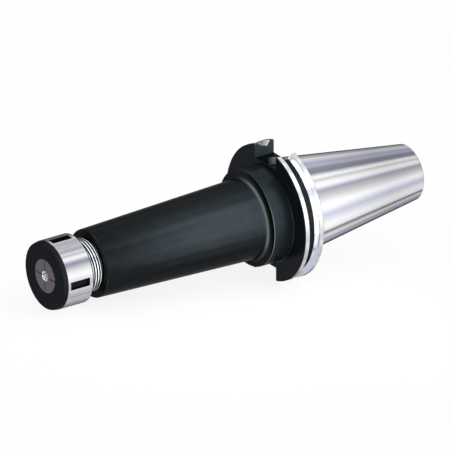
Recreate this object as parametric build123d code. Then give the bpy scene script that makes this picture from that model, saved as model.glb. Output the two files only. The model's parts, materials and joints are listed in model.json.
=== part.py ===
from build123d import *
import os
from math import atan2, cos, degrees, radians, sin, sqrt, tan

# Collet chuck holder with a steep-taper shank, in millimetres.
# Every piece is turned about the tool axis. Stations along that axis are measured from the gauge line
# towards the nose. The pieces are modelled with the tool axis along +Z and a drive slot towards +X, and
# at the end all are laid down together, nose towards -X, as the holder comes to rest on a bench:
# on the two lower slot corners of the flange and on the rim of the nut.

# Taper shank
GAUGE_DIAMETER = 69.85
TAPER_LENGTH = 101.6
TAPER_PER_LENGTH = 7 / 24
SMALL_END_CHAMFER = 1.0

# Flange with its gripper groove and two drive slots
FLANGE_SETBACK = 3.18
FLANGE_DIAMETER = 98.43
FLANGE_THICKNESS = 15.87
RIM_CHAMFER = 0.5
GROOVE_SETBACK = 7.95
GROOVE_MOUTH = 8.6
GROOVE_FLOOR_WIDTH = 4.3
GROOVE_FLANK_ANGLE = 30.0
SLOT_WIDTH = 25.8
SLOT_FLOOR_HEIGHT = 37.3
SLOT_EDGE_CHAMFER = 0.8
SLOT_HOLE_DIAMETER = 14.3
SLOT_HOLE_DEPTH = 8.0

# Collar and the long tapered projection
COLLAR_DIAMETER = 69.85
COLLAR_LENGTH = 15.95
COLLAR_CHAMFER = 0.4
SHOULDER_FILLET = 4.4
SHOULDER_FLAT = 0.5
BODY_REAR_DIAMETER = 58.1
BODY_FRONT_DIAMETER = 48.9
BODY_END = 167.2
BODY_FRONT_CHAMFER = 0.8

# Threaded nose, an inch and a half by twelve threads to the inch, drawn here as its root cylinder
NOSE_THREAD_DIAMETER = 38.1
NOSE_THREAD_PITCH = 25.4 / 12
THREAD_DEPTH_PER_PITCH = 0.6134
NOSE_RELIEF_LENGTH = 1.2
NOSE_RELIEF_DEPTH = 0.3
NOSE_CHAMFER = 0.8
NOSE_SETBACK = 7.6

# Lock nut
PROJECTION = 203.2
NUT_DIAMETER = 49.5
NUT_LENGTH = 24.6
NUT_BAND_LENGTH = 3.3
NUT_FACE_DIAMETER = 48.2
NUT_REAR_CHAMFER = 0.7
POCKET_COUNT = 4
POCKET_WIDTH = 6.0
POCKET_LENGTH = 15.7
POCKET_DEPTH = 2.0
POCKET_SETBACK = 5.2
NUT_LIP_DIAMETER = 29.2
NUT_LIP_LENGTH = 0.8
NUT_FRONT_WALL = 3.8

# Ejector ring in its groove inside the nut
RING_DIAMETER = 32.8
RING_THICKNESS = 2.0
RING_AXIAL_CLEARANCE = 0.1
RING_RADIAL_CLEARANCE = 0.1
RING_EDGE_CHAMFER = 0.3

# Collet
COLLET_LENGTH = 41.3
COLLET_FACE_DIAMETER = 24.2
COLLET_DIAMETER = 27.0
COLLET_FRONT_ANGLE = 30.0
COLLET_SEAT_ANGLE = 8.0
COLLET_LAND = 1.3
COLLET_GROOVE_WIDTH = 2.4
COLLET_GROOVE_DEPTH = 1.2
COLLET_REAR_LAND = 0.8
COLLET_BORE = 6.35
COLLET_BORE_CHAMFER = 0.4
SLIT_COUNT = 4
SLIT_WIDTH = 0.7
FRONT_SLIT_LENGTH = 34.0
REAR_SLIT_LENGTH = 30.0
COLLET_RING_CLEARANCE = 0.3

# Stop screw, its seal and its locking pellet, five eighths of an inch by eighteen threads to the inch
STOP_THREAD_DIAMETER = 15.875
STOP_THREAD_PITCH = 25.4 / 18
STOP_SETBACK = 11.9
STOP_THREAD_LENGTH = 12.0
STOP_SPIGOT_LENGTH = 24.0
STOP_SPIGOT_DIAMETER = 13.0
STOP_END_CHAMFER = 0.5
STOP_SOCKET_WIDTH = 6.35
STOP_SOCKET_DEPTH = 8.0
STOP_COOLANT_HOLE = 4.0
SEAL_SECTION = 2.0
SEAL_SETBACK = 3.0
SEAL_GROOVE_CLEARANCE = 0.1
PELLET_DIAMETER = 4.0
PELLET_DEPTH = 3.0
PELLET_RECESS = 0.2
STOP_TRAVEL_BACK = 10.0
STOP_TRAVEL_FORWARD = 4.0

# Bores behind the collet seat
SEAL_BORE_DIAMETER = 13.8
SEAL_BORE_MARGIN = 6.0
COOLANT_BORE_DIAMETER = 11.0
KNOB_THREAD_DIAMETER = 25.4
KNOB_THREAD_PITCH = 25.4 / 8
KNOB_HOLE_DEPTH = 44.5
KNOB_PILOT_DIAMETER = 26.2
KNOB_PILOT_DEPTH = 6.35
DRILL_POINT_ANGLE = 59.0

# Fits
SEAT_CLEARANCE = 0.08
THREAD_CLEARANCE = 0.15
SEAL_CLEARANCE = 0.05
PELLET_CLEARANCE = 0.03

# Stations and radii worked out from the values above
gauge_radius = GAUGE_DIAMETER / 2
small_end = -TAPER_LENGTH
small_end_radius = gauge_radius - TAPER_PER_LENGTH * TAPER_LENGTH / 2
flange_radius = FLANGE_DIAMETER / 2
flange_rear = FLANGE_SETBACK
flange_front = flange_rear + FLANGE_THICKNESS
groove_centre = flange_rear + GROOVE_SETBACK
groove_depth = (GROOVE_MOUTH - GROOVE_FLOOR_WIDTH) / 2 / tan(radians(GROOVE_FLANK_ANGLE))
collar_radius = COLLAR_DIAMETER / 2
collar_end = flange_front + COLLAR_LENGTH
body_rear_radius = BODY_REAR_DIAMETER / 2
body_front_radius = BODY_FRONT_DIAMETER / 2
shoulder_width = collar_radius - COLLAR_CHAMFER - body_rear_radius
shoulder_fillet = min(SHOULDER_FILLET, shoulder_width - SHOULDER_FLAT)

nose_thread_radius = NOSE_THREAD_DIAMETER / 2
nose_root_radius = nose_thread_radius - THREAD_DEPTH_PER_PITCH * NOSE_THREAD_PITCH
nose_end = PROJECTION - NOSE_SETBACK

nut_radius = NUT_DIAMETER / 2
nut_rear = PROJECTION - NUT_LENGTH
nut_band_start = PROJECTION - NUT_BAND_LENGTH
nut_thread_radius = nose_thread_radius + THREAD_CLEARANCE
ring_groove_front = PROJECTION - NUT_FRONT_WALL
ring_groove_rear = ring_groove_front - RING_THICKNESS - 2 * RING_AXIAL_CLEARANCE
nut_thread_end = ring_groove_rear - NUT_LIP_LENGTH
ring_groove_radius = RING_DIAMETER / 2 + RING_RADIAL_CLEARANCE

collet_rear = PROJECTION - COLLET_LENGTH
collet_face_radius = COLLET_FACE_DIAMETER / 2
collet_radius = COLLET_DIAMETER / 2
collet_cone_end = PROJECTION - (collet_radius - collet_face_radius) / tan(radians(COLLET_FRONT_ANGLE))
collet_groove_centre = (ring_groove_front + ring_groove_rear) / 2
collet_groove_front = collet_groove_centre + COLLET_GROOVE_WIDTH / 2
collet_groove_rear = collet_groove_centre - COLLET_GROOVE_WIDTH / 2
collet_groove_radius = collet_radius - COLLET_GROOVE_DEPTH
collet_seat_start = collet_groove_rear - COLLET_REAR_LAND
ring_bore_radius = collet_groove_radius + COLLET_RING_CLEARANCE

stop_thread_radius = STOP_THREAD_DIAMETER / 2
stop_root_radius = stop_thread_radius - THREAD_DEPTH_PER_PITCH * STOP_THREAD_PITCH
stop_bore_radius = stop_thread_radius + THREAD_CLEARANCE
stop_front = collet_rear - STOP_SETBACK
stop_thread_rear = stop_front - STOP_THREAD_LENGTH
stop_rear = stop_thread_rear - STOP_SPIGOT_LENGTH
spigot_radius = STOP_SPIGOT_DIAMETER / 2
seal_outer_radius = SEAL_BORE_DIAMETER / 2 - SEAL_CLEARANCE
seal_centre_radius = seal_outer_radius - SEAL_SECTION / 2
seal_groove_radius = seal_outer_radius - SEAL_SECTION - SEAL_GROOVE_CLEARANCE
seal_centre = stop_rear + SEAL_SETBACK
stop_bore_rear = stop_thread_rear - STOP_TRAVEL_BACK - 2 * THREAD_CLEARANCE
seal_bore_rear = stop_rear - STOP_TRAVEL_BACK - SEAL_BORE_MARGIN
knob_hole_end = small_end + KNOB_HOLE_DEPTH

# How the holder lies at rest
slot_mouth_half = SLOT_WIDTH / 2 + SLOT_EDGE_CHAMFER
rest_corner_height = sqrt(flange_radius**2 - slot_mouth_half**2)
rest_corner_station = flange_front - RIM_CHAMFER
rest_tilt = atan2(rest_corner_height - nut_radius, nut_band_start - rest_corner_station)


def seat_radius(station):
    """Radius of the collet's long cone at a station."""
    return collet_radius - (collet_seat_start - station) * tan(radians(COLLET_SEAT_ANGLE))


def turned(points):
    """Solid of revolution about the tool axis of an outline of (radius, station) points."""
    return revolve(make_face(Plane.XZ * Polyline(*points, close=True)), Axis.Z)


def cylinder_between(radius, rear, front):
    """Round bar on the tool axis between two stations."""
    return Pos(0, 0, rear) * Cylinder(radius, front - rear, align=(Align.CENTER, Align.CENTER, Align.MIN))


def body_radius(station):
    """Radius of the tapered projection at a station."""
    share = (station - collar_end) / (BODY_END - collar_end)
    return body_rear_radius + (body_front_radius - body_rear_radius) * share


def shank_and_flange():
    """Taper, flange with its gripper groove, and collar."""
    taper_slope = TAPER_PER_LENGTH / 2
    rim = flange_radius - RIM_CHAMFER
    groove_floor = flange_radius - groove_depth
    return turned([
        (0, small_end),
        (small_end_radius - SMALL_END_CHAMFER, small_end),
        (small_end_radius + SMALL_END_CHAMFER * taper_slope, small_end + SMALL_END_CHAMFER),
        (gauge_radius, 0),
        (gauge_radius, flange_rear),
        (rim, flange_rear),
        (flange_radius, flange_rear + RIM_CHAMFER),
        (flange_radius, groove_centre - GROOVE_MOUTH / 2),
        (groove_floor, groove_centre - GROOVE_FLOOR_WIDTH / 2),
        (groove_floor, groove_centre + GROOVE_FLOOR_WIDTH / 2),
        (flange_radius, groove_centre + GROOVE_MOUTH / 2),
        (flange_radius, rest_corner_station),
        (rim, flange_front),
        (0, flange_front),
    ])


def projection_and_nose():
    """Collar, shoulder, long tapered projection and the nose at its thread's root."""
    relief = nose_root_radius - NOSE_RELIEF_DEPTH
    outline = Polyline(
        (0, flange_front),
        (collar_radius, flange_front),
        (collar_radius, collar_end - COLLAR_CHAMFER),
        (collar_radius - COLLAR_CHAMFER, collar_end),
        (body_rear_radius, collar_end),
        (body_radius(BODY_END - BODY_FRONT_CHAMFER), BODY_END - BODY_FRONT_CHAMFER),
        (body_front_radius - BODY_FRONT_CHAMFER, BODY_END),
        (relief, BODY_END),
        (relief, BODY_END + NOSE_RELIEF_LENGTH),
        (nose_root_radius, BODY_END + NOSE_RELIEF_LENGTH + NOSE_RELIEF_DEPTH),
        (nose_root_radius, nose_end - NOSE_CHAMFER),
        (nose_root_radius - NOSE_CHAMFER, nose_end),
        (0, nose_end),
        close=True,
    )
    profile = make_face(outline)
    shoulder = profile.vertices().sort_by_distance((body_rear_radius, collar_end))[0]
    profile = fillet(shoulder, shoulder_fillet)
    return revolve(Plane.XZ * profile, Axis.Z)


def drive_slot():
    """Cutter for one drive slot towards +X, with its mouth edges broken."""
    reach = flange_radius
    mouth = rest_corner_height
    section = make_face(Polyline(
        (SLOT_FLOOR_HEIGHT, -SLOT_WIDTH / 2),
        (SLOT_FLOOR_HEIGHT, SLOT_WIDTH / 2),
        (mouth - SLOT_EDGE_CHAMFER, SLOT_WIDTH / 2),
        (mouth, slot_mouth_half),
        (mouth + reach, slot_mouth_half),
        (mouth + reach, -slot_mouth_half),
        (mouth, -slot_mouth_half),
        (mouth - SLOT_EDGE_CHAMFER, -SLOT_WIDTH / 2),
        close=True,
    ))
    return Pos(0, 0, flange_rear) * extrude(section, FLANGE_THICKNESS)


def slot_hole():
    """Cutter for the round blind hole in the floor of the slot towards +X."""
    hole = Cylinder(SLOT_HOLE_DIAMETER / 2, SLOT_HOLE_DEPTH, align=(Align.CENTER, Align.CENTER, Align.MAX))
    return Pos(SLOT_FLOOR_HEIGHT, 0, groove_centre) * Rot(0, 90, 0) * hole


def inner_bores():
    """Cutter for all that is bored on the tool axis: knob thread, coolant bore, stop bore, collet seat."""
    offset = SEAT_CLEARANCE / cos(radians(COLLET_SEAT_ANGLE))
    seat_mouth = seat_radius(nose_end) + offset
    seat_end = nose_end - (seat_mouth - stop_bore_radius) / tan(radians(COLLET_SEAT_ANGLE))
    knob_radius = KNOB_THREAD_DIAMETER / 2
    coolant_radius = COOLANT_BORE_DIAMETER / 2
    drill_point = (knob_radius - coolant_radius) / tan(radians(DRILL_POINT_ANGLE))
    seal_bore_radius = SEAL_BORE_DIAMETER / 2
    return turned([
        (0, small_end),
        (KNOB_PILOT_DIAMETER / 2, small_end),
        (KNOB_PILOT_DIAMETER / 2, small_end + KNOB_PILOT_DEPTH),
        (knob_radius, small_end + KNOB_PILOT_DEPTH),
        (knob_radius, knob_hole_end),
        (coolant_radius, knob_hole_end + drill_point),
        (coolant_radius, seal_bore_rear),
        (seal_bore_radius, seal_bore_rear),
        (seal_bore_radius, stop_bore_rear),
        (stop_bore_radius, stop_bore_rear),
        (stop_bore_radius, seat_end),
        (seat_mouth, nose_end),
        (0, nose_end),
    ])


def make_holder_body():
    """The one-piece holder."""
    body = shank_and_flange() + projection_and_nose()
    slot = drive_slot()
    return body - slot - Rot(0, 0, 180) * slot - slot_hole() - inner_bores()


def make_lock_nut():
    """Ring nut: thread bore, groove for the ejector ring, and the cone that closes the collet."""
    offset = SEAT_CLEARANCE / cos(radians(COLLET_FRONT_ANGLE))
    bore = collet_radius + offset
    nut = turned([
        (nut_thread_radius, nut_rear),
        (nut_radius - NUT_REAR_CHAMFER, nut_rear),
        (nut_radius, nut_rear + NUT_REAR_CHAMFER),
        (nut_radius, nut_band_start),
        (NUT_FACE_DIAMETER / 2, PROJECTION),
        (collet_face_radius + offset, PROJECTION),
        (bore, collet_cone_end),
        (bore, ring_groove_front),
        (ring_groove_radius, ring_groove_front),
        (ring_groove_radius, ring_groove_rear),
        (NUT_LIP_DIAMETER / 2, ring_groove_rear),
        (NUT_LIP_DIAMETER / 2, nut_thread_end),
        (nut_thread_radius, nut_thread_end),
    ])
    pocket = Box(POCKET_DEPTH, POCKET_WIDTH, POCKET_LENGTH, align=(Align.MIN, Align.CENTER, Align.MAX))
    pocket = Pos(nut_radius - POCKET_DEPTH, 0, PROJECTION - POCKET_SETBACK) * pocket
    for index in range(POCKET_COUNT):
        nut = nut - Rot(0, 0, index * 360 / POCKET_COUNT) * pocket
    return nut


def make_ejector_ring():
    """Flat ring in the nut's groove, with its inner edges broken."""
    rear = ring_groove_rear + RING_AXIAL_CLEARANCE
    front = rear + RING_THICKNESS
    outer = RING_DIAMETER / 2
    return turned([
        (ring_bore_radius, rear + RING_EDGE_CHAMFER),
        (ring_bore_radius + RING_EDGE_CHAMFER, rear),
        (outer, rear),
        (outer, front),
        (ring_bore_radius + RING_EDGE_CHAMFER, front),
        (ring_bore_radius, front - RING_EDGE_CHAMFER),
    ])


def collet_slit(rear, front):
    """Cutter for one slit from the bore outwards towards +X."""
    return Pos(0, 0, rear) * Box(
        collet_radius + SLIT_WIDTH, SLIT_WIDTH, front - rear, align=(Align.MIN, Align.CENTER, Align.MIN)
    )


def make_collet():
    """Double-angle collet, split from the front and from the back in turn."""
    bore = COLLET_BORE / 2
    collet = turned([
        (bore, collet_rear + COLLET_BORE_CHAMFER),
        (bore + COLLET_BORE_CHAMFER, collet_rear),
        (seat_radius(collet_rear), collet_rear),
        (collet_radius, collet_seat_start),
        (collet_radius, collet_groove_rear),
        (collet_groove_radius, collet_groove_rear),
        (collet_groove_radius, collet_groove_front),
        (collet_radius, collet_groove_front),
        (collet_radius, collet_cone_end),
        (collet_face_radius, PROJECTION),
        (bore + COLLET_BORE_CHAMFER, PROJECTION),
        (bore, PROJECTION - COLLET_BORE_CHAMFER),
    ])
    past = SLIT_WIDTH
    front_slit = collet_slit(PROJECTION - FRONT_SLIT_LENGTH, PROJECTION + past)
    rear_slit = collet_slit(collet_rear - past, collet_rear + REAR_SLIT_LENGTH)
    step = 360 / SLIT_COUNT
    for index in range(SLIT_COUNT):
        collet = collet - Rot(0, 0, index * step) * front_slit
        collet = collet - Rot(0, 0, (index + 0.5) * step) * rear_slit
    return collet


def pellet_place():
    """Where the pellet's hole is drilled from the side of the stop screw, pointing outwards along +X."""
    middle = (stop_front + stop_thread_rear) / 2
    return Pos(stop_root_radius - PELLET_RECESS, 0, middle) * Rot(0, 90, 0)


def make_stop_screw():
    """Stop screw at its thread's root, with socket, coolant hole, seal groove and pellet hole."""
    groove_half = SEAL_SECTION / 2 + SEAL_GROOVE_CLEARANCE
    screw = turned([
        (STOP_COOLANT_HOLE / 2, stop_rear),
        (spigot_radius - STOP_END_CHAMFER, stop_rear),
        (spigot_radius, stop_rear + STOP_END_CHAMFER),
        (spigot_radius, seal_centre - groove_half),
        (seal_groove_radius, seal_centre - groove_half),
        (seal_groove_radius, seal_centre + groove_half),
        (spigot_radius, seal_centre + groove_half),
        (spigot_radius, stop_thread_rear),
        (stop_root_radius, stop_thread_rear + STOP_END_CHAMFER),
        (stop_root_radius, stop_front - STOP_END_CHAMFER),
        (stop_root_radius - STOP_END_CHAMFER, stop_front),
        (STOP_COOLANT_HOLE / 2, stop_front),
    ])
    socket = extrude(RegularPolygon(STOP_SOCKET_WIDTH / 2, 6, major_radius=False), STOP_SOCKET_DEPTH)
    hole = Cylinder(
        PELLET_DIAMETER / 2 + PELLET_CLEARANCE, PELLET_DEPTH, align=(Align.CENTER, Align.CENTER, Align.MAX)
    )
    mouth = Cylinder(
        PELLET_DIAMETER / 2 + PELLET_CLEARANCE, STOP_THREAD_DIAMETER, align=(Align.CENTER, Align.CENTER, Align.MIN)
    )
    return screw - Pos(0, 0, stop_front - STOP_SOCKET_DEPTH) * socket - pellet_place() * (hole + mouth)


def make_stop_screw_seal():
    """O-ring on the spigot of the stop screw."""
    return Pos(0, 0, seal_centre) * Torus(seal_centre_radius, SEAL_SECTION / 2)


def make_lock_pellet():
    """Nylon pellet in the side of the stop screw."""
    length = PELLET_DEPTH - PELLET_CLEARANCE
    pellet = Cylinder(PELLET_DIAMETER / 2, length, align=(Align.CENTER, Align.CENTER, Align.MAX))
    return pellet_place() * pellet


def laid_down(shape):
    """Turn a piece from the tool axis on +Z to the lying pose, nose towards -X and tilted down."""
    return Rot(0, -90 - degrees(rest_tilt), 0) * shape


def lowest_point():
    """Height of the surface that the holder lies on, below the gauge line's centre."""
    return -rest_corner_station * sin(rest_tilt) - rest_corner_height * cos(rest_tilt)


PIECES = {
    "holder_body": make_holder_body,
    "lock_nut": make_lock_nut,
    "ejector_ring": make_ejector_ring,
    "collet": make_collet,
    "stop_screw": make_stop_screw,
    "stop_screw_seal": make_stop_screw_seal,
    "lock_pellet": make_lock_pellet,
}

os.makedirs("parts", exist_ok=True)
for name, make in PIECES.items():
    export_step(laid_down(make()), f"parts/{name}.step")
print(f"rest tilt {degrees(rest_tilt):.3f} degrees, surface at {lowest_point():.3f} mm")
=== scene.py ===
"""Looks for a 50 taper collet chuck holder: thread ridges, metal finishes, and a stage round its solids."""

import json
import math

import bpy
import numpy as np
from bpy.props import FloatProperty, FloatVectorProperty, IntProperty, PointerProperty
from mathutils import Matrix, Vector


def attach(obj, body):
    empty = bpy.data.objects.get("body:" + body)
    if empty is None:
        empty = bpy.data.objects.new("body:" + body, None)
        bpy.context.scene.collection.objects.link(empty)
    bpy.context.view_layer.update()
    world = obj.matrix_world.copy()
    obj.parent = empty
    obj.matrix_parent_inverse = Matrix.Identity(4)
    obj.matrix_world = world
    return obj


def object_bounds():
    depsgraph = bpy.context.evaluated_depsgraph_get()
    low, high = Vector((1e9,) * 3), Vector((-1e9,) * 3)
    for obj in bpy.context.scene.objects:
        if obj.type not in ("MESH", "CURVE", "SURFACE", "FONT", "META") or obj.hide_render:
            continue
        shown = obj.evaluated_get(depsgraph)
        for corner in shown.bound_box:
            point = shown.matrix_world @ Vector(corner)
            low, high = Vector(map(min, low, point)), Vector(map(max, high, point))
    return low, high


bl_info = {
    "name": "Collet chuck holder looks",
    "version": (1, 0, 0),
    "blender": (4, 5, 0),
    "location": "3D View > Sidebar > Holder",
    "description": "Threads, metal finishes and stage for a 50 taper collet chuck holder",
    "category": "Object",
}

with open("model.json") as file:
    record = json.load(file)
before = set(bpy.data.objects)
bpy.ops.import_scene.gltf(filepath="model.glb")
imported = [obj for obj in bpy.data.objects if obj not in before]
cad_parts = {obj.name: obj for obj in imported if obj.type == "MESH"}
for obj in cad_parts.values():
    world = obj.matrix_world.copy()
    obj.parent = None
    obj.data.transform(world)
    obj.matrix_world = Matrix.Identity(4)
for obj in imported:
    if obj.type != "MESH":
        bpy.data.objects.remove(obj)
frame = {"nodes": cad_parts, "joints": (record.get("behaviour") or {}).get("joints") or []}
CAD_BOX = [list(corner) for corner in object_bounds()]
MM = 0.001

# The tool axis is that of the nut's slide. Stations run along it from the gauge line, towards the nose.
NOSE = Vector(next(j for j in frame["joints"] if j["name"] == "nut_travel")["axis"]).normalized()
SIDE = Vector((0.0, 1.0, 0.0))
UP = SIDE.cross(NOSE)
AXES = np.array([UP, SIDE, NOSE])

# Sizes that the finishes follow, in millimetres
SMALL_END, SMALL_END_CHAMFER = -101.6, 1.0
FLANGE_REAR, FLANGE_FRONT, FLANGE_RADIUS = 3.18, 19.05, 49.215
RIM_CHAMFER = 0.5
GROOVE_CENTRE, GROOVE_HALF_MOUTH, GROOVE_FLOOR_RADIUS = 11.13, 4.3, 45.49
SLOT_HALF_WIDTH, SLOT_FLOOR, SLOT_CHAMFER = 12.9, 37.3, 0.8
SLOT_HOLE_RADIUS = 7.15
COLLAR_END, COLLAR_RADIUS, BODY_END, BODY_END_RADIUS = 35.0, 34.925, 167.2, 24.45
NUT_RIM_START, NUT_BAND, NUT_FRONT, NUT_RADIUS = 179.7, 199.9, 203.2, 24.75
NUT_INNER_RADIUS = 19.5
POCKET_REAR, POCKET_FRONT, POCKET_WIDTH = 182.3, 198.0, 6.0
LARGEST_BORE_RADIUS, COLLET_BORE_RADIUS = 17.5, 3.6

# How far a finish reaches past an edge, and how deep it goes under a rim, in millimetres
EDGE, GROOVE_FLOOR_EDGE, RIM_DEPTH = 0.03, 0.12, 0.3

# The threads' radii and ends, in millimetres
NOSE_ROOT, NOSE_CREST, NOSE_THREAD_START, NOSE_THREAD_END = 17.45, 19.05, 167.3, 194.9
NUT_WALL, NUT_CREST, NUT_THREAD_START, NUT_THREAD_END = 19.2, 18.2, 179.4, 193.9
STOP_ROOT, STOP_CREST, STOP_THREAD_START, STOP_THREAD_END = 7.07, 7.94, 138.8, 149.3
STOP_WALL, STOP_WALL_CREST, STOP_WALL_START, STOP_WALL_END = 8.09, 7.2, 128.6, 153.6
KNOB_WALL, KNOB_CREST, KNOB_THREAD_START, KNOB_THREAD_END = 12.7, 11.1, -93.6, -58.9
CREST_BRIGHT_FROM, CREST_BRIGHT_TO = 18.88, 19.2

# A ridge's mesh and section. Shares of its height and of half its crest's width place its broken corners.
STEPS_PER_TURN = 96
FADE_TURNS = 0.3
SINK = 0.06
FLANK = math.tan(math.radians(30))
CORNER_HEIGHT, CORNER_HALF_WIDTH, CREST_HALF_WIDTH = 0.93, 1.12, 0.7
SHARP_DEGREES = 24

# Whites, and what every material's noise, bump and gloss share
COOL = (0.92, 0.95, 1.15)
NEUTRAL = (1.0, 1.0, 1.0)
NOISE_ROUGHNESS, NOISE_MIDDLE = 0.55, 0.5
BUMP_DISTANCE = 0.0001
PLAIN_SPECULAR = 0.5


class HolderThreads(bpy.types.PropertyGroup):
    """Sizes of the thread ridges."""

    nose_pitch: FloatProperty(
        name="Nose pitch", description="Pitch of the nose thread and of the nut's",
        default=25.4 / 12 * MM, min=0.0005, max=0.004, precision=5, subtype="DISTANCE", unit="LENGTH")
    stop_pitch: FloatProperty(
        name="Stop pitch", description="Pitch of the stop screw's thread and of its bore's",
        default=25.4 / 18 * MM, min=0.0005, max=0.003, precision=5, subtype="DISTANCE", unit="LENGTH")
    knob_pitch: FloatProperty(
        name="Knob pitch", description="Pitch of the retention knob's thread",
        default=25.4 / 8 * MM, min=0.001, max=0.005, precision=5, subtype="DISTANCE", unit="LENGTH")
    crest_share: FloatProperty(
        name="Crest share", description="Width of the nose thread's flat crest as a share of its pitch",
        default=0.36, min=0.05, max=0.4, subtype="FACTOR")
    mate_share: FloatProperty(
        name="Other crests' share",
        description="The same share for the nut's, the stop's and the knob's threads",
        default=0.125, min=0.05, max=0.3, subtype="FACTOR")


class HolderFinish(bpy.types.PropertyGroup):
    """Colours and gloss of the holder's materials."""

    ground: FloatVectorProperty(
        name="Ground steel", description="Colour of the ground taper, rims and nut",
        default=(0.76, 0.76, 0.78), size=3, min=0, max=1, subtype="COLOR")
    oxide: FloatVectorProperty(
        name="Black oxide", description="Colour of the blackened steel",
        default=(0.0148, 0.0166, 0.0176), size=3, min=0, max=1, subtype="COLOR")
    # Its colour is partly wear and partly painted highlight: the edge lines and the shoulder's band stand in
    # for highlights
    worn_and_highlight: FloatVectorProperty(
        name="Worn edge", description="Colour of the thin edges where the black is rubbed",
        default=(0.125, 0.150, 0.148), size=3, min=0, max=1, subtype="COLOR")
    # A colour for painted light: the slots' walls show it as a painted reflection, and the collar's and the
    # slot hole's painted highlights are levels of it
    painted_sheen: FloatVectorProperty(
        name="Milled slot", description="Colour of the drive slots' walls",
        default=(0.032, 0.041, 0.044), size=3, min=0, max=1, subtype="COLOR")
    turned: FloatVectorProperty(
        name="Turned steel", description="Colour of the bores and the inner pieces",
        default=(0.40, 0.40, 0.41), size=3, min=0, max=1, subtype="COLOR")
    collet: FloatVectorProperty(
        name="Collet steel", description="Colour of the hardened collet",
        default=(0.230, 0.194, 0.180), size=3, min=0, max=1, subtype="COLOR")
    seal: FloatVectorProperty(
        name="Seal rubber", description="Colour of the stop screw's seal",
        default=(0.016, 0.016, 0.017), size=3, min=0, max=1, subtype="COLOR")
    pellet: FloatVectorProperty(
        name="Pellet nylon", description="Colour of the stop screw's lock pellet",
        default=(0.72, 0.69, 0.62), size=3, min=0, max=1, subtype="COLOR")
    ground_gloss: FloatProperty(
        name="Ground roughness", description="Roughness of the ground surfaces",
        default=0.09, min=0, max=1, subtype="FACTOR")
    oxide_gloss: FloatProperty(
        name="Oxide roughness", description="Roughness of the blackened surfaces",
        default=0.21, min=0, max=1, subtype="FACTOR")


class HolderStage(bpy.types.PropertyGroup):
    """Camera, lamps and floor."""

    lens: FloatProperty(
        name="Lens", description="Focal length of the camera",
        default=1600.0, min=20, max=4000, subtype="DISTANCE_CAMERA", unit="CAMERA")
    box_level: FloatProperty(
        name="Soft box level", description="Radiance of the brightest of the soft boxes",
        default=4.9, min=0, max=20)
    box_tint: FloatVectorProperty(
        name="Soft box tint", description="Colour of the soft boxes",
        default=(0.79, 0.98, 1.09), size=3, min=0, max=2, subtype="COLOR")
    box_station: FloatProperty(
        name="Soft box station", description="Place of the boxes' middle along the tool axis",
        default=-0.008, min=-1, max=1, subtype="DISTANCE", unit="LENGTH")
    box_distance: FloatProperty(
        name="Soft box distance", description="Distance of the boxes from the tool axis",
        default=0.2, min=0.1, max=2, subtype="DISTANCE", unit="LENGTH")
    box_length: FloatProperty(
        name="Soft box length", description="Length of each box along the axis",
        default=0.086, min=0.01, max=2, subtype="DISTANCE", unit="LENGTH")
    box_width: FloatProperty(
        name="Soft box width", description="Width of each box across the axis",
        default=0.085, min=0.01, max=2, subtype="DISTANCE", unit="LENGTH")
    box_angle: FloatProperty(
        name="Soft box angle", description="Angle of the middle box round the axis from above",
        default=math.radians(-55), subtype="ANGLE", unit="ROTATION")
    box_spread: FloatProperty(
        name="Soft box spread", description="Angle from one box to the next",
        default=math.radians(24), subtype="ANGLE", unit="ROTATION")
    box_lean: FloatProperty(
        name="Soft box lean", description="Angle by which each box leans towards the nose",
        default=math.radians(27), subtype="ANGLE", unit="ROTATION")
    box_beam: FloatProperty(
        name="Soft box beam", description="Full angle of the beam that each box's grid lets out",
        default=math.radians(116), min=math.radians(20), max=math.radians(175), subtype="ANGLE",
        unit="ROTATION")
    sky: FloatProperty(
        name="Sky", description="Strength of the even light on dull surfaces", default=1.0, min=0, max=5)
    floor_size: FloatProperty(
        name="Floor", description="Width of the floor",
        default=6.0, min=0.5, max=20, subtype="DISTANCE", unit="LENGTH")
    floor_segments: IntProperty(
        name="Floor segments", description="Segments of the floor's edge", default=64, min=8, max=256)


class Socket:
    """A shader value. Arithmetic on it adds the Math node that the sign names."""

    def __init__(self, tree, link):
        self.tree, self.link = tree, link

    def _math(self, operation, *values):
        return self.tree.node("ShaderNodeMath", {"operation": operation}, dict(enumerate(values)))

    def __add__(self, other):
        return self._math("ADD", self, other)

    def __sub__(self, other):
        return self._math("SUBTRACT", self, other)

    def __rsub__(self, other):
        return self._math("SUBTRACT", other, self)

    def __mul__(self, other):
        return self._math("MULTIPLY", self, other)

    def __truediv__(self, other):
        return self._math("DIVIDE", self, other)

    def __pow__(self, other):
        return self._math("POWER", self, other)

    def __gt__(self, other):
        return self._math("GREATER_THAN", self, other)

    def __lt__(self, other):
        return self._math("LESS_THAN", self, other)

    def __abs__(self):
        return self._math("ABSOLUTE", self)

    __radd__, __rmul__ = __add__, __mul__


class Tree:
    """A node tree, with one method that adds any node."""

    def __init__(self, owner):
        owner.use_nodes = True
        self.nodes, self.links = owner.node_tree.nodes, owner.node_tree.links
        self.nodes.clear()

    def node(self, kind, settings=None, sockets=None, output=0):
        """Adds a node: settings first, then each socket's value or link. Returns one of its outputs."""
        node = self.nodes.new(kind)
        for name, value in (settings or {}).items():
            if name == "stops":
                self._set_stops(node.color_ramp, value)
            else:
                setattr(node, name, value)
        for name, value in (sockets or {}).items():
            if isinstance(value, Socket):
                self.links.new(value.link, node.inputs[name])
            else:
                node.inputs[name].default_value = value
        return Socket(self, node.outputs[output]) if node.outputs else node

    @staticmethod
    def _set_stops(ramp, stops):
        while len(ramp.elements) < len(stops):
            ramp.elements.new(1.0)
        for element, (place, colour) in zip(ramp.elements, stops):
            element.position, element.color = place, colour


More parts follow.
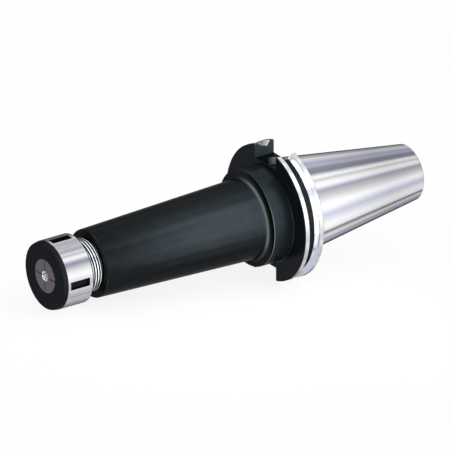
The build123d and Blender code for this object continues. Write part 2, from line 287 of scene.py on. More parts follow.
def mix(tree, share, first, second):
    """Colour that goes from first to second as share goes from 0 to 1."""
    return tree.node("ShaderNodeMix", {"data_type": "RGBA"}, {0: share, 6: first, 7: second}, output=2)


def rgba(colour, level=1.0):
    """A colour at a level, with full alpha."""
    return (*(channel * level for channel in colour), 1.0)


def shaded(tree, share, colour, tones):
    """A colour that noise takes from the lower of two levels to the higher."""
    low, high = tones
    return mix(tree, share, rgba(colour, low), rgba(colour, high))


def clamp(value):
    """A value kept between 0 and 1."""
    return value.tree.node("ShaderNodeClamp", None, {"Value": value})


def between(value, low, high):
    """1 where low < value < high, else 0."""
    return (value > low) * (value < high)


def rises(value, start, width):
    """0 up to start, then rising to 1 over a width."""
    return clamp((value - start) / width)


def falls(value, end, width):
    """1 at first, then falling to 0 over the last width before end."""
    return clamp((end - value) / width)


def along(tree, point, direction, scale=1.0):
    """Part of a point's vector that lies along a direction."""
    return tree.node("ShaderNodeVectorMath", {"operation": "DOT_PRODUCT"},
                     {0: point, 1: tuple(direction * scale)}, output="Value")


class ToolPlace:
    """Where a shaded point lies on the tool, in millimetres: its station, its height over the axis, its
    offset to the side and how far that is either way, and its radius."""

    def __init__(self, tree):
        self.tree = tree
        self.point = tree.node("ShaderNodeTexCoord", None, None, output="Object")
        self.station = along(tree, self.point, NOSE, 1 / MM)
        self.height = along(tree, self.point, UP, 1 / MM)
        self.side = along(tree, self.point, SIDE, 1 / MM)
        self.across = abs(self.side)
        self.radius = (self.height * self.height + self.side * self.side) ** 0.5

    def noise(self, stretch, scale, detail):
        """Noise over (station, height, side), each stretched by its own factor."""
        place = self.tree.node(
            "ShaderNodeCombineXYZ", None,
            {0: self.station * stretch[0], 1: self.height * stretch[1], 2: self.side * stretch[2]})
        return self.tree.node(
            "ShaderNodeTexNoise", {"noise_dimensions": "3D"},
            {"Vector": place, "Scale": scale, "Detail": detail, "Roughness": NOISE_ROUGHNESS})

    def turning(self, feed):
        """Fine feed marks: a wave along the station whose wavelength is the feed per turn."""
        angle = self.station * (2 * math.pi / feed)
        return self.tree.node("ShaderNodeMath", {"operation": "SINE"}, {0: angle})


def metal(base, roughness, metallic, height, bump, specular=PLAIN_SPECULAR, edge_tint=1.0):
    """One Principled shader behind a bump. base, roughness, metallic and height may be links. specular and
    edge_tint, the tint at a metal's edges, are numbers."""
    tree = base.tree
    relief = tree.node(
        "ShaderNodeBump", None, {"Strength": bump, "Distance": BUMP_DISTANCE, "Height": height})
    shader = tree.node("ShaderNodeBsdfPrincipled", None, {
        "Base Color": base, "Roughness": roughness, "Metallic": metallic, "Specular IOR Level": specular,
        "Specular Tint": rgba(NEUTRAL, edge_tint), "Normal": relief})
    tree.node("ShaderNodeOutputMaterial", None, {"Surface": shader})


def new_material(name):
    """An empty material and its tree."""
    material = bpy.data.materials.new(name)
    return material, Tree(material)


def dress(obj, material):
    """Gives a piece one material in every slot that it has."""
    slots = obj.data.materials
    if len(slots) == 0:
        slots.append(material)
    for index in range(len(slots)):
        slots[index] = material


def signed_volume(points, quads):
    """Volume inside a closed mesh of quads. A triangle's share is a sixth of its corners' triple product."""
    a, b, c, d = (points[quads[:, k]] for k in range(4))
    return (np.einsum("ij,ij->i", a, np.cross(b, c)) + np.einsum("ij,ij->i", a, np.cross(c, d))).sum() / 6


def helical_ridge(name, pitch, foot, crest, start, end, land, phase=0.0):
    """A thread's ridge, in millimetres. Its section is a trapezium: land pitches wide at the crest, with
    flanks that lean 30 degrees, its crest corners broken, and its foot sunk in the wall. The section is
    carried along a right-hand helix, so at angle a its middle stands at phase + pitch * a / (2 pi), and it
    sinks into the wall over the last part of a turn at each end. The ends are closed."""
    turns = (end - start) / pitch
    sweep = np.linspace(0.0, 2 * math.pi * turns, int(turns * STEPS_PER_TURN) + 1)
    angle = sweep + 2 * math.pi * (start - phase) / pitch
    fade = np.clip(np.minimum(sweep, sweep[-1] - sweep) / (2 * math.pi * FADE_TURNS), 0, 1)
    height = crest - foot
    half_crest = land * pitch / 2
    half_foot = half_crest + abs(height) * FLANK
    half_corner, half_flat = half_crest * CORNER_HALF_WIDTH, half_crest * CREST_HALF_WIDTH
    share = np.array([-SINK, CORNER_HEIGHT, 1.0, 1.0, CORNER_HEIGHT, -SINK])
    half = np.array([-half_foot, -half_corner, -half_flat, half_flat, half_corner, half_foot])
    rise = np.where(share > 0, share * fade[:, None] - SINK / 2 * (1 - fade[:, None]), share)
    radius = foot + rise * height
    station = (start + pitch * sweep / (2 * math.pi))[:, None] + half
    local = np.stack([radius * np.cos(angle)[:, None], radius * np.sin(angle)[:, None], station], axis=-1)
    rings, corners = radius.shape
    points = local.reshape(-1, 3) @ AXES * MM
    ring, corner = np.meshgrid(np.arange(rings - 1), np.arange(corners), indexing="ij")
    beyond = (corner + 1) % corners
    quads = np.stack([ring * corners + corner, (ring + 1) * corners + corner,
                      (ring + 1) * corners + beyond, ring * corners + beyond], axis=-1).reshape(-1, 4)
    caps = [list(range(corners)), list(range((rings - 1) * corners, rings * corners))[::-1]]
    if signed_volume(points, quads) < 0:
        quads, caps = quads[:, ::-1], [cap[::-1] for cap in caps]
    return mesh_piece(name, points, quads.tolist() + caps)


def mesh_piece(name, points, faces):
    """A mesh object at the origin, smooth but for its sharp edges."""
    mesh = bpy.data.meshes.new(name)
    mesh.from_pydata(points.tolist(), [], faces)
    mesh.validate()
    mesh.shade_smooth()
    mesh.set_sharp_from_angle(angle=math.radians(SHARP_DEGREES))
    obj = bpy.data.objects.new(name, mesh)
    bpy.context.scene.collection.objects.link(obj)
    return obj


# Noise over the metals: its stretch along the station, the height and the side, its scale and its detail
THREAD_GRAIN = ((1.0, 0.3, 0.3), 6.0, 3.0)
TURNED_DRIFT = ((0.5, 0.5, 0.5), 0.6, 4.0)
BODY_BLOTCH = ((0.35, 0.35, 0.35), 0.35, 4.0)
BODY_SPECKLE = ((3.0, 0.6, 0.6), 1.0, 2.0)
GRINDING = ((9.0, 0.12, 0.12), 1.0, 3.0)
NUT_BLOTCH = ((0.4, 0.4, 0.4), 0.5, 4.0)
COLLET_DRIFT = ((0.5, 0.5, 0.5), 0.9, 4.0)
COLLET_GRAIN = ((1.0, 1.0, 1.0), 4.0, 2.0)
SOFT_GRAIN = ((1.0, 1.0, 1.0), 3.0, 3.0)

# The nose thread: the two levels of its black, and its crests
THREAD_TONES, THREAD_BUMP = (0.6, 1.6), 0.15
CREST_SHADE, CREST_POLISH = 1.25, 0.1


def nose_thread_material(finish):
    """Black thread whose crests, between two radii, keep the bright ground diameter they were cut in."""
    material, tree = new_material("nose_thread_steel")
    place = ToolPlace(tree)
    crest = between(place.radius, CREST_BRIGHT_FROM, CREST_BRIGHT_TO)
    grain = place.noise(*THREAD_GRAIN)
    flank_colour = shaded(tree, grain, finish.oxide, THREAD_TONES)
    colour = mix(tree, crest, flank_colour, rgba(finish.ground, CREST_SHADE))
    rough = finish.oxide_gloss - crest * CREST_POLISH
    metal(colour, rough, 1.0, grain, THREAD_BUMP, edge_tint=OXIDE_EDGE_TINT)
    return material


# Turned surfaces: two levels of their steel, then each one's roughness and feed in millimetres per turn
TURNED_TONES, TURNED_BUMP = (0.82, 1.14), 0.12
TURNED_DRIFT_ROUGHNESS, TURNED_FEED_ROUGHNESS = 0.12, 0.03
TURNED_STEELS = {
    "nut_thread_steel": (0.35, 0.3), "stop_thread_steel": (0.32, 0.25), "stop_bore_steel": (0.38, 0.25),
    "knob_thread_steel": (0.36, 0.4), "ejector_ring_steel": (0.34, 0.2), "stop_screw_steel": (0.3, 0.25)}


def turned_material(name, finish):
    """Plain turned metal: feed marks along the station, and a slow drift of tone."""
    roughness, feed = TURNED_STEELS[name]
    material, tree = new_material(name)
    place = ToolPlace(tree)
    drift, marks = place.noise(*TURNED_DRIFT), place.turning(feed)
    rough = roughness + drift * TURNED_DRIFT_ROUGHNESS + marks * TURNED_FEED_ROUGHNESS
    metal(shaded(tree, drift, finish.turned, TURNED_TONES), rough, 1.0, marks, TURNED_BUMP)
    return material


class HOLDER_OT_nose_threads(bpy.types.Operator):
    """Cuts the nose thread on the body and its mate in the nut"""

    bl_idname = "holder.nose_threads"
    bl_label = "Nose threads"

    def execute(self, context):
        threads, finish = context.scene.holder_threads, context.scene.holder_finish
        pitch = threads.nose_pitch / MM
        outer = helical_ridge(
            "nose_thread", pitch, NOSE_ROOT, NOSE_CREST, NOSE_THREAD_START, NOSE_THREAD_END,
            threads.crest_share)
        inner = helical_ridge(
            "nut_thread", pitch, NUT_WALL, NUT_CREST, NUT_THREAD_START, NUT_THREAD_END,
            threads.mate_share, phase=pitch / 2)
        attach(outer, "holder")
        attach(inner, "nut")
        dress(outer, nose_thread_material(finish))
        dress(inner, turned_material("nut_thread_steel", finish))
        return {"FINISHED"}


class HOLDER_OT_stop_threads(bpy.types.Operator):
    """Cuts the stop screw's thread and its mate in the bore"""

    bl_idname = "holder.stop_threads"
    bl_label = "Stop threads"

    def execute(self, context):
        threads, finish = context.scene.holder_threads, context.scene.holder_finish
        pitch = threads.stop_pitch / MM
        screw = helical_ridge(
            "stop_screw_thread", pitch, STOP_ROOT, STOP_CREST, STOP_THREAD_START, STOP_THREAD_END,
            threads.mate_share)
        bore = helical_ridge(
            "stop_bore_thread", pitch, STOP_WALL, STOP_WALL_CREST, STOP_WALL_START, STOP_WALL_END,
            threads.mate_share, phase=pitch / 2)
        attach(screw, "stop")
        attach(bore, "holder")
        dress(screw, turned_material("stop_thread_steel", finish))
        dress(bore, turned_material("stop_bore_steel", finish))
        return {"FINISHED"}


class HOLDER_OT_knob_thread(bpy.types.Operator):
    """Cuts the retention knob's thread in the rear bore"""

    bl_idname = "holder.knob_thread"
    bl_label = "Knob thread"

    def execute(self, context):
        threads, finish = context.scene.holder_threads, context.scene.holder_finish
        ridge = helical_ridge(
            "knob_thread", threads.knob_pitch / MM, KNOB_WALL, KNOB_CREST, KNOB_THREAD_START, KNOB_THREAD_END,
            threads.mate_share)
        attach(ridge, "holder")
        dress(ridge, turned_material("knob_thread_steel", finish))
        return {"FINISHED"}


# Rubbed edges, partly wear and partly painted highlight, in millimetres: the shoulder's band is a painted
# highlight and the collar's edge lines are painted darker towards the top; then how much shows at the body's
# end and at the shoulder
EDGE_RING_WIDTH = 0.45
SHOULDER_HIGHLIGHT_REAR, SHOULDER_HIGHLIGHT_FRONT, SHOULDER_HIGHLIGHT_FADE = 35.84, 38.1, 0.5
COLLAR_EDGE_SHADE_TOP, COLLAR_EDGE_SHADE_FADE = 31.0, 20.0
BODY_END_WEAR_AND_HIGHLIGHT, SHOULDER_HIGHLIGHT_SHARE = 0.2, 0.4

# Where the wall of the slot's hole gets its painted highlight and where the taper's colour is painted darker,
# in millimetres
HOLE_LIT_DEPTH, HOLE_LIT_FRONT, HOLE_LIT_FADE = 5.5, 13.13, 5.0
TAPER_SHADE_END, TAPER_SHADE_FADE, TAPER_GRIND_SHARE = -70.0, 55.0, 0.2


def ground_mask(place):
    """1 on the taper, the flange's rims and the groove's flanks."""
    station, radius, across = place.station, place.radius, place.across
    taper = between(station, SMALL_END + SMALL_END_CHAMFER, FLANGE_REAR - EDGE) * (
        radius > LARGEST_BORE_RADIUS)
    rims = between(station, FLANGE_REAR + RIM_CHAMFER, FLANGE_FRONT - RIM_CHAMFER) * (
        radius > FLANGE_RADIUS - RIM_DEPTH) * (across > SLOT_HALF_WIDTH + SLOT_CHAMFER)
    flanks = (abs(station - GROOVE_CENTRE) < GROOVE_HALF_MOUTH + EDGE) * (
        radius > GROOVE_FLOOR_RADIUS + GROOVE_FLOOR_EDGE) * (across > SLOT_HALF_WIDTH + EDGE)
    return clamp(taper + rims + flanks)


def slot_hole_highlight_mask(place):
    """1 on the upper wall of the hole in the slot's floor, where a painted highlight goes, fading out towards
    the nose.
    """
    off_centre = place.station - GROOVE_CENTRE
    radius = (off_centre * off_centre + place.across * place.across) ** 0.5
    lit = between(place.height, SLOT_FLOOR - HOLE_LIT_DEPTH - EDGE, SLOT_FLOOR - EDGE)
    return (radius < SLOT_HOLE_RADIUS + EDGE) * lit * falls(place.station, HOLE_LIT_FRONT, HOLE_LIT_FADE)


def slot_wall_sheen_mask(place):
    """1 on the drive slots' walls and their chamfers, which get a lighter, dull coat as a painted reflection.
    """
    return between(place.across, SLOT_HALF_WIDTH - EDGE, SLOT_HALF_WIDTH + SLOT_CHAMFER + EDGE) * between(
        place.station, FLANGE_REAR + EDGE, FLANGE_FRONT - EDGE) * (place.radius > SLOT_FLOOR)


def collar_highlight_mask(place):
    """1 on the round of the locating collar, which gets a lighter, duller coat as a painted highlight."""
    return between(place.station, FLANGE_FRONT, COLLAR_END) * between(
        place.radius, COLLAR_RADIUS - RIM_DEPTH, COLLAR_RADIUS + EDGE)


def flange_face_mask(place):
    """1 on the flange's front face, whose duller coat at half the oxide's colour is a painted shade level in
    place of its reflection.
    """
    return (abs(place.station - FLANGE_FRONT) < EDGE) * (place.radius > COLLAR_RADIUS + EDGE)


def edge_ring(place, station, radius):
    """1 on a thin ring round an edge of the body."""
    return (abs(place.station - station) < EDGE_RING_WIDTH) * (abs(place.radius - radius) < EDGE_RING_WIDTH)


def wear_and_highlight_mask(place):
    """How much of the rubbed-edge colour shows, partly real wear and partly painted highlight: fully at the
    collar's edges, fading out towards their top as painted shade, and a part at the body's end and in the
    shoulder's band, which is a painted highlight.
    """
    collar = edge_ring(place, COLLAR_END, COLLAR_RADIUS) + edge_ring(place, FLANGE_FRONT, COLLAR_RADIUS)
    body_end = edge_ring(place, BODY_END, BODY_END_RADIUS)
    # painted highlight: a band on the shoulder's fillet
    shoulder = rises(place.station, SHOULDER_HIGHLIGHT_REAR, SHOULDER_HIGHLIGHT_FADE) * falls(
        place.station, SHOULDER_HIGHLIGHT_FRONT, SHOULDER_HIGHLIGHT_FADE) * (place.radius > LARGEST_BORE_RADIUS)
    # painted shade: the collar's edge lines fade out towards the top
    return clamp(collar * falls(place.height, COLLAR_EDGE_SHADE_TOP, COLLAR_EDGE_SHADE_FADE)
                 + body_end * BODY_END_WEAR_AND_HIGHLIGHT + shoulder * SHOULDER_HIGHLIGHT_SHARE)


# The body's coats: levels of their colours, with painted highlights on the collar and in the slot's hole and
# a painted shade level on the flange's face, and how the finish marks them
OXIDE_TONES, TAPER_TONES = (0.75, 1.35), (0.84, 1.26)
COLLAR_HIGHLIGHT_LEVEL, FLANGE_FACE_SHADE, SLOT_HOLE_HIGHLIGHT = 0.56, 0.5, 6.0
BLOTCH_ROUGHNESS, SPECKLE_ROUGHNESS, BARE_ROUGHNESS, GRIND_ROUGHNESS = 0.06, 0.03, 0.36, 0.06
OXIDE_METALLIC, OXIDE_SPECULAR, OXIDE_EDGE_TINT = 0.8, 0.1, 0.5
COLLAR_DULLNESS, FLANGE_FACE_DULLNESS = 0.25, 0.5
BODY_FEED, BODY_FEED_RELIEF, BODY_BUMP = 0.45, 0.4, 0.08


def taper_steel(place, grind, finish):
    """Ground steel with grinding noise, whose colour is painted darker towards the taper's small end: a
    painted shade.
    """
    # Painted shade: the taper's colour falls towards its small end, with a little grinding noise over it
    near = rises(place.station, TAPER_SHADE_END, TAPER_SHADE_FADE)
    return shaded(place.tree, grind * TAPER_GRIND_SHARE + near * (1 - TAPER_GRIND_SHARE), finish.ground,
                  TAPER_TONES)


def body_steel(tree, finish):
    """Black oxide with a blotch, under coats that each show where their mask is 1. The coats on the collar,
    the slots' walls and the hole's upper wall are painted light, the flange face's is a painted shade level,
    the rubbed edges are partly painted highlight, and the taper is painted darker towards its small end.
    """
    place = ToolPlace(tree)
    ground, worn_and_highlight, bores = ground_mask(place), wear_and_highlight_mask(place), place.radius < LARGEST_BORE_RADIUS
    hole, wall = slot_hole_highlight_mask(place), slot_wall_sheen_mask(place)
    collar, face = collar_highlight_mask(place), flange_face_mask(place)
    blotch, speckle, grind = (place.noise(*pattern) for pattern in (BODY_BLOTCH, BODY_SPECKLE, GRINDING))
    colour = shaded(tree, blotch, finish.oxide, OXIDE_TONES)
    for mask, coat in (
            # painted highlight: a lighter, duller coat in place of the highlight that the flange keeps from
            # the collar
            (collar, rgba(finish.painted_sheen, COLLAR_HIGHLIGHT_LEVEL)),
            # painted shade level: the face's tone is set by its colour, not by its reflection of the body
            (face, rgba(finish.oxide, FLANGE_FACE_SHADE)),
            # painted reflection: the slots' walls get a lighter, dull coat in place of what they would
            # reflect
            (wall, rgba(finish.painted_sheen)),
            # partly wear, partly painted highlight: the edge lines and the shoulder's band
            (worn_and_highlight, rgba(finish.worn_and_highlight)),
            (bores, rgba(finish.turned)),
            # painted highlight: the hole's upper wall at six times the slot walls' colour, fading towards the
            # nose
            (hole, rgba(finish.painted_sheen, SLOT_HOLE_HIGHLIGHT)),
            # painted shade: the taper's coat is darker towards its small end
            (ground, taper_steel(place, grind, finish))):
        colour = mix(tree, mask, colour, coat)
    bare = clamp(ground + clamp(hole + bores) + worn_and_highlight)
    uneven = (blotch - NOISE_MIDDLE) * BLOTCH_ROUGHNESS + speckle * SPECKLE_ROUGHNESS
    black_rough = finish.oxide_gloss + uneven
    ground_rough = finish.ground_gloss + (grind - NOISE_MIDDLE) * GRIND_ROUGHNESS
    rough = black_rough * (1 - bare) + bare * BARE_ROUGHNESS * (1 - ground) + ground * ground_rough
    dull = collar * COLLAR_DULLNESS + face * FLANGE_FACE_DULLNESS
    metallic = clamp(OXIDE_METALLIC - dull + bare) * (1 - wall) * (1 - hole)
    relief = place.turning(BODY_FEED) * BODY_FEED_RELIEF * (1 - ground) + grind * ground
    metal(colour, rough, metallic, relief, BODY_BUMP, OXIDE_SPECULAR, OXIDE_EDGE_TINT)


class HOLDER_OT_body_finish(bpy.types.Operator):
    """Blackens the body and grinds its taper, its rims and its groove's flanks bright"""

    bl_idname = "holder.body_finish"
    bl_label = "Body finish"

    def execute(self, context):
        material, tree = new_material("holder_steel")
        body_steel(tree, context.scene.holder_finish)
        dress(frame["nodes"]["holder_body"], material)
        return {"FINISHED"}


# The nut's coats
NUT_OXIDE_TONES, NUT_RIM_TONES, NUT_BORE_SHADE = (0.75, 1.3), (0.94, 1.05), 0.7
NUT_RIM_GLOSS, NUT_GRIND_ROUGHNESS = 0.6, 0.04
NUT_FEED, NUT_FEED_RELIEF, NUT_GRIND_RELIEF, NUT_BUMP = 0.3, 0.3, 0.5, 0.07


def nut_steel(tree, finish):
    """Black face, front band and pockets, a ground rim between them, and turned steel inside."""
    place = ToolPlace(tree)
    station, radius = place.station, place.radius
    rim = (radius > NUT_RADIUS - RIM_DEPTH) * between(station, NUT_RIM_START, NUT_BAND - EDGE)
    least = tree.node("ShaderNodeMath", {"operation": "MINIMUM"}, {0: abs(place.height), 1: place.across})
    pocket = (least < POCKET_WIDTH / 2 + EDGE) * between(station, POCKET_REAR - EDGE, POCKET_FRONT + EDGE)
    ground = rim * (1 - pocket)
    inner = (radius < NUT_INNER_RADIUS) * (station < NUT_FRONT - EDGE)
    grind = place.noise(*GRINDING)
    oxide = shaded(tree, place.noise(*NUT_BLOTCH), finish.oxide, NUT_OXIDE_TONES)
    colour = mix(tree, inner, oxide, rgba(finish.turned, NUT_BORE_SHADE))
    colour = mix(tree, ground, colour, shaded(tree, grind, finish.ground, NUT_RIM_TONES))
    ground_rough = finish.ground_gloss * NUT_RIM_GLOSS + (grind - NOISE_MIDDLE) * NUT_GRIND_ROUGHNESS
    rough = finish.oxide_gloss * (1 - ground) + ground * ground_rough
    relief = place.turning(NUT_FEED) * NUT_FEED_RELIEF + grind * NUT_GRIND_RELIEF
    metal(colour, rough, clamp(ground + inner + OXIDE_METALLIC), relief, NUT_BUMP, OXIDE_SPECULAR,
          OXIDE_EDGE_TINT)


class HOLDER_OT_nut_finish(bpy.types.Operator):
    """Grinds the nut's rim bright, and blackens its face, its front band and its pockets"""

    bl_idname = "holder.nut_finish"
    bl_label = "Nut finish"

    def execute(self, context):
        material, tree = new_material("nut_steel")
        nut_steel(tree, context.scene.holder_finish)
        dress(frame["nodes"]["lock_nut"], material)
        return {"FINISHED"}


# The collet's satin, and its bore
COLLET_TONES, COLLET_ROUGHNESS, COLLET_DRIFT_ROUGHNESS, COLLET_BUMP = (0.85, 1.15), 0.4, 0.12, 0.12
BORE_SHADE, BORE_ROUGHNESS, BORE_DULLNESS = 1.2, 0.5, 0.7


def collet_satin(tree, finish):
    """Satin hardened steel with a slow drift of tone, and a bright bore."""
    place = ToolPlace(tree)
    drift, grain = place.noise(*COLLET_DRIFT), place.noise(*COLLET_GRAIN)
    bore = place.radius < COLLET_BORE_RADIUS
    satin = shaded(tree, drift, finish.collet, COLLET_TONES)
    satin_rough = COLLET_ROUGHNESS + (drift - NOISE_MIDDLE) * COLLET_DRIFT_ROUGHNESS
    rough = satin_rough * (1 - bore) + bore * BORE_ROUGHNESS
    metal(mix(tree, bore, satin, rgba(finish.ground, BORE_SHADE)), rough, 1 - bore * BORE_DULLNESS, grain,
          COLLET_BUMP)


class HOLDER_OT_collet_finish(bpy.types.Operator):
    """Gives the collet its satin hardened steel, with a bright bore"""

    bl_idname = "holder.collet_finish"
    bl_label = "Collet finish"

    def execute(self, context):
        material, tree = new_material("collet_steel_satin")
        collet_satin(tree, context.scene.holder_finish)
        dress(frame["nodes"]["collet"], material)
        return {"FINISHED"}


# The seal and the pellet
SEAL_ROUGHNESS, PELLET_ROUGHNESS = 0.55, 0.45
SOFT_TONES, SOFT_GRAIN_ROUGHNESS, SOFT_BUMP = (0.8, 1.15), 0.2, 0.2


def soft_material(name, colour, roughness):
    """Dull rubber or nylon with a fine grain."""
    material, tree = new_material(name)
    grain = ToolPlace(tree).noise(*SOFT_GRAIN)
    rough = roughness + (grain - NOISE_MIDDLE) * SOFT_GRAIN_ROUGHNESS
    metal(shaded(tree, grain, colour, SOFT_TONES), rough, 0.0, grain, SOFT_BUMP)
    return material


class HOLDER_OT_inner_finishes(bpy.types.Operator):
    """Gives the ejector ring, the stop screw, its seal and its pellet their materials"""

    bl_idname = "holder.inner_finishes"
    bl_label = "Inner finishes"

    def execute(self, context):
        finish, nodes = context.scene.holder_finish, frame["nodes"]
        dress(nodes["ejector_ring"], turned_material("ejector_ring_steel", finish))
        dress(nodes["stop_screw"], turned_material("stop_screw_steel", finish))
        dress(nodes["stop_screw_seal"], soft_material("stop_screw_seal_soft", finish.seal, SEAL_ROUGHNESS))
        dress(nodes["lock_pellet"], soft_material("lock_pellet_soft", finish.pellet, PELLET_ROUGHNESS))
        return {"FINISHED"}


# The studio round the tool, by the angle at which a reflection leaves the axis: 0 is above it and -90 is
# towards the camera. Each stop is an angle in degrees, a brightness, and 1 where its white is cool.
CYLINDER_STUDIO = (
    (-178, 0.48, 0), (-170, 0.74, 0), (-149, 0.42, 1), (-137, 0.70, 0), (-124, 0.58, 0), (-107, 0.95, 0),
    (-90, 1.32, 0), (-76, 1.32, 0), (-64, 0.98, 0), (-50, 0.40, 1), (-43, 0.50, 1), (-31, 1.35, 0),
    (-25, 1.12, 0), (-19, 0.60, 1), (-13, 1.20, 0), (-8, 0.44, 1), (-1, 0.36, 1), (8, 1.00, 0),
    (17, 0.76, 0), (23, 0.84, 0), (31, 0.52, 0), (46, 0.95, 0), (62, 0.40, 0), (78, 0.16, 0),
    (90, 0.26, 0), (104, 0.30, 0), (118, 0.06, 0), (134, 0.06, 0), (142, 0.60, 0), (157, 0.42, 0),
    (172, 0.70, 0))
TAPER_STUDIO = (
    (-175, 0.82, 0), (-165, 0.12, 0), (-156, 1.0, 0), (-140, 1.1, 0), (-113, 0.74, 1), (-88, 1.25, 0),
    (-62, 0.70, 0), (-44, 0.46, 1), (-32, 1.10, 0), (-23, 1.05, 0), (-14, 0.66, 0), (-5, 1.15, 0),
    (9, 0.27, 1), (24, 0.32, 1), (33, 0.56, 1), (46, 0.48, 1), (67, 1.00, 0), (94, 0.42, 0),
    (102, 0.06, 0), (138, 0.10, 0), (147, 0.24, 1), (154, 0.64, 1), (170, 0.54, 1), (178, 0.88, 0))
FRONT_STUDIO = ((-140, 0.40, 0), (-60, 0.50, 0), (40, 0.40, 0), (72, 0.80, 0), (92, 0.72, 1), (112, 0.64, 1))

# A ramp's colours end at 1, so its brightnesses are divided by this peak and its light multiplied by it.
STUDIO_PEAK = 2.0

# Where one part of the studio gives way to the next, by how far a reflection points to the nose
TAPER_WAY, TAPER_FADE = -0.5125, 0.025
FRONT_WAY, FRONT_FADE = 0.3, 0.125

# The ring light: which way it stands from the axis, its ends along it, and its weaker and wider outer part
RING_MIDDLE = UP * 0.488 - SIDE * 0.873
RING_START, RING_END, RING_FADE = -0.2, 0.95, 0.125
OUTER_RING_END, OUTER_RING_FADE, OUTER_RING_SHARE = 0.75, 0.1, 0.8
OUTER_RING_BACK, OUTER_RING_BACK_FADE = -0.5, 0.5
RING_COLOUR = (1.08, 1.14, 1.10)


def studio_stops(stops):
    """Ramp stops of a studio: angles as shares of a turn, with brightnesses as shares of the peak."""
    return [((angle + 180) / 360, rgba(COOL if cool else NEUTRAL, level / STUDIO_PEAK))
            for angle, level, cool in stops]


def ring_light(nose, near):
    """How much of the ring light a reflection meets, by how far it points to the nose and to that light."""
    inner = near * falls(nose, RING_END, RING_FADE)
    outer = falls(nose, OUTER_RING_END, OUTER_RING_FADE) * rises(near, OUTER_RING_BACK, OUTER_RING_BACK_FADE)
    return rises(nose, RING_START, RING_FADE) * clamp(inner + outer * OUTER_RING_SHARE)


def studio_world(stage):
    """World: white to the camera, even light on dull surfaces, a studio of lengthwise panels in gloss."""
    world = bpy.data.worlds.new("studio")
    bpy.context.scene.world = world
    tree = Tree(world)
    way = tree.node("ShaderNodeTexCoord", None, None, output="Generated")
    up, side, nose, near = (along(tree, way, axis) for axis in (UP, SIDE, NOSE, RING_MIDDLE))
    turn = tree.node("ShaderNodeMath", {"operation": "ARCTAN2"}, {0: side, 1: up}) / (2 * math.pi) + 0.5
    cylinder, taper, front = (tree.node("ShaderNodeValToRGB", {"stops": studio_stops(stops)}, {"Fac": turn})
                              for stops in (CYLINDER_STUDIO, TAPER_STUDIO, FRONT_STUDIO))
    gloss = mix(tree, falls(nose, TAPER_WAY, TAPER_FADE), cylinder, taper)
    gloss = mix(tree, rises(nose, FRONT_WAY, FRONT_FADE), gloss, front)
    gloss = mix(tree, ring_light(nose, near), gloss, rgba(RING_COLOUR))
    in_gloss, in_camera = (tree.node("ShaderNodeLightPath", None, None, output=ray)
                           for ray in ("Is Glossy Ray", "Is Camera Ray"))
    glossy = tree.node("ShaderNodeBackground", None, {"Color": gloss, "Strength": STUDIO_PEAK})
    even = tree.node("ShaderNodeBackground", None, {"Color": rgba(NEUTRAL), "Strength": stage.sky})
    white = tree.node("ShaderNodeBackground", None, {"Color": rgba(NEUTRAL), "Strength": 1.0})
    lit = tree.node("ShaderNodeMixShader", None, {0: in_gloss, 1: even, 2: glossy})
    seen = tree.node("ShaderNodeMixShader", None, {0: in_camera, 1: lit, 2: white})
    tree.node("ShaderNodeOutputWorld", None, {"Surface": seen})


def standing(place, right, back):
    """Matrix that puts an object at a place, with its X to the right and its Z to the back."""
    return Matrix.Translation(place) @ Matrix((right, back.cross(right), back)).transposed().to_4x4()


def soft_box(name, stage, angle, level, station, length, tint):
    """A rectangular lamp beside the tool, leaned so that it faces the tool and the nose, with a grid that
    narrows its beam. Its power is its radiance times its area times pi, less the share that the grid keeps
    in."""
    lamp = bpy.data.lights.new(name, "AREA")
    lamp.shape, lamp.size, lamp.size_y = "RECTANGLE", length, stage.box_width
    half = stage.box_beam / 2
    lamp.spread = stage.box_beam
    lamp.energy = level * length * stage.box_width * math.pi * (1 - half / math.tan(half))
    lamp.color = tint
    obj = bpy.data.objects.new(name, lamp)
    outward = UP * math.cos(angle) + SIDE * math.sin(angle)
    back = outward * math.cos(stage.box_lean) - NOSE * math.sin(stage.box_lean)
    right = outward * math.sin(stage.box_lean) + NOSE * math.cos(stage.box_lean)
    obj.matrix_world = standing(NOSE * station + outward * stage.box_distance, right, back)
    obj.visible_camera = False
    bpy.context.scene.collection.objects.link(obj)


# Each soft box's share of the level, from the lowest on the camera's side up and over the tool, then the
# same for the small boxes that light the flange's rims
BOX_SHARES = (0.12, 0.54, 0.84, 1.0, 0.84, 0.36, 0.12)
RIM_BOX_SHARES = (0.0, 0.05, 0.10, 0.42, 0.50, 0.22, 0.10)
RIM_BOX_LEVEL, RIM_BOX_STATION, RIM_BOX_LENGTH = 0.22, -0.078, 0.044

# The camera at the photograph's angle: the ways to its right and its back, and its place in metres
CAMERA_RIGHT = Vector((0.8206148, -0.56254899, 0.10064788))
CAMERA_BACK = Vector((-0.55786403, -0.7503216, 0.35469032))
CAMERA_PLACE = (-7.7875537, -10.403507, 4.9109687)
SENSOR_WIDTH, CLIP_START, CLIP_END = 36.0, 0.1, 50.0

# The floor's colour, and how much of its own white the camera sees in place of its light and shadow
FLOOR_COLOUR, FLOOR_GLOW = 0.95, 0.85


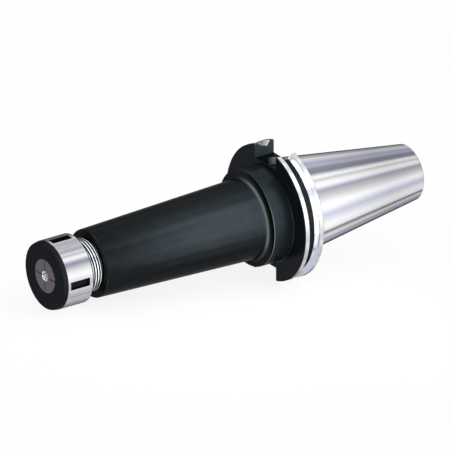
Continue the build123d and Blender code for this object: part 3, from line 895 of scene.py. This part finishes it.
class HOLDER_OT_stage(bpy.types.Operator):
    """Sets the floor, the studio, the lamps and the camera at the photograph's angle"""

    bl_idname = "holder.stage"
    bl_label = "Stage"

    def execute(self, context):
        stage, scene = context.scene.holder_stage, context.scene
        studio_world(stage)
        self.floor(stage)
        self.lamps(stage)
        self.camera(stage)
        scene.view_settings.view_transform = "Standard"
        return {"FINISHED"}

    @staticmethod
    def lamps(stage):
        """Soft boxes in an arc round the tool: large ones for the body, small ones for the flange's rims."""
        for index, (share, rim_share) in enumerate(zip(BOX_SHARES, RIM_BOX_SHARES)):
            angle = stage.box_angle + (index - len(BOX_SHARES) // 2) * stage.box_spread
            soft_box("soft_box_%d" % (index + 1), stage, angle, share * stage.box_level, stage.box_station,
                     stage.box_length, stage.box_tint)
            soft_box("rim_box_%d" % (index + 1), stage, angle, rim_share * RIM_BOX_LEVEL * stage.box_level,
                     RIM_BOX_STATION, RIM_BOX_LENGTH, NEUTRAL)

    @staticmethod
    def camera(stage):
        """The scene's camera."""
        lens = bpy.data.cameras.new("camera")
        lens.lens, lens.sensor_width = stage.lens, SENSOR_WIDTH
        lens.clip_start, lens.clip_end = CLIP_START, CLIP_END
        camera = bpy.data.objects.new("camera", lens)
        camera.matrix_world = standing(CAMERA_PLACE, CAMERA_RIGHT, CAMERA_BACK)
        bpy.context.scene.collection.objects.link(camera)
        bpy.context.scene.camera = camera

    @staticmethod
    def floor(stage):
        """Floor at the object's lowest point: a flat disc, white to the camera but for part of its shadow."""
        turns = np.linspace(0, 2 * math.pi, stage.floor_segments, endpoint=False)
        low = CAD_BOX[0][2]
        rim = np.stack([np.cos(turns), np.sin(turns), np.zeros_like(turns)], axis=-1) * stage.floor_size / 2
        disc = mesh_piece("floor", rim + np.array([0, 0, low]), [list(range(len(rim)))])
        material, tree = new_material("floor_white")
        in_camera = tree.node("ShaderNodeLightPath", None, None, output="Is Camera Ray")
        dull = tree.node("ShaderNodeBsdfDiffuse", None, {"Color": rgba(NEUTRAL, FLOOR_COLOUR)})
        glow = tree.node("ShaderNodeEmission", None, {"Color": rgba(NEUTRAL), "Strength": 1.0})
        shader = tree.node("ShaderNodeMixShader", None, {0: in_camera * FLOOR_GLOW, 1: dull, 2: glow})
        tree.node("ShaderNodeOutputMaterial", None, {"Surface": shader})
        dress(disc, material)
        disc.visible_glossy = False


class HOLDER_PT_looks(bpy.types.Panel):
    """Lists the steps that dress the holder"""

    bl_idname = "HOLDER_PT_looks"
    bl_label = "Collet chuck holder"
    bl_space_type = "VIEW_3D"
    bl_region_type = "UI"
    bl_category = "Holder"

    def draw(self, context):
        for step in STEPS:
            self.layout.operator(step.bl_idname)
        for group in (context.scene.holder_threads, context.scene.holder_finish, context.scene.holder_stage):
            for name in group.__annotations__:
                self.layout.prop(group, name)


STEPS = (HOLDER_OT_nose_threads, HOLDER_OT_stop_threads, HOLDER_OT_knob_thread, HOLDER_OT_body_finish,
         HOLDER_OT_nut_finish, HOLDER_OT_collet_finish, HOLDER_OT_inner_finishes, HOLDER_OT_stage)
GROUPS = {"holder_threads": HolderThreads, "holder_finish": HolderFinish, "holder_stage": HolderStage}
CLASSES = (*GROUPS.values(), *STEPS, HOLDER_PT_looks)


def register():
    """Adds the classes, and each group of settings to the scene."""
    for each in CLASSES:
        bpy.utils.register_class(each)
    for name, group in GROUPS.items():
        setattr(bpy.types.Scene, name, PointerProperty(type=group))


def unregister():
    """Takes away what register adds."""
    for name in GROUPS:
        delattr(bpy.types.Scene, name)
    for each in reversed(CLASSES):
        bpy.utils.unregister_class(each)


def main():
    """Dresses the holder step by step."""
    register()
    for step in STEPS:
        group, name = step.bl_idname.split(".")
        getattr(getattr(bpy.ops, group), name)()


if __name__ == "__main__":
    main()
